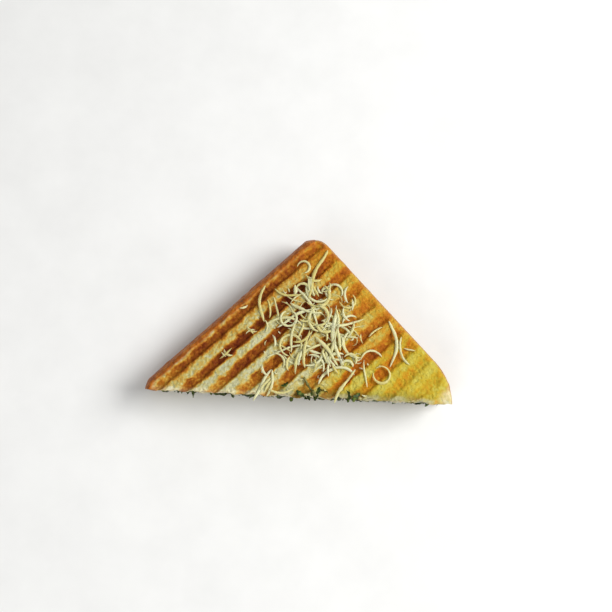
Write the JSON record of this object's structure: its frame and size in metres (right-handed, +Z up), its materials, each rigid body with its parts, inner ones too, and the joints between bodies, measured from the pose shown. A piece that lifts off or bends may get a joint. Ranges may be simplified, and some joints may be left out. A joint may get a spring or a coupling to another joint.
{
  "type": "grilled cheese sandwich",
  "caption": "Half of a grill-marked toasted sandwich, cut corner to corner, with a green filling and a loose heap of grated cheese on top.",
  "frame": {"origin": "middle of the box's underside, on the table that the sandwich lies on", "axes": "+X along the cut side, with the loaf's shoulder at +X; +Y from the cut to the square corner; +Z up"},
  "size_m": [0.143, 0.079, 0.0295],
  "materials": {
    "toasted_bread": "dry crumb, buttered and browned in bands",
    "green_filling": "moist chopped greens",
    "grated_cheese": "soft satin"
  },
  "bodies": {
    "root": {"bread_bottom": "toasted_bread", "green_filling": "green_filling", "bread_top": "toasted_bread", "grated_cheese": "grated_cheese"}
  },
  "joints": []
}
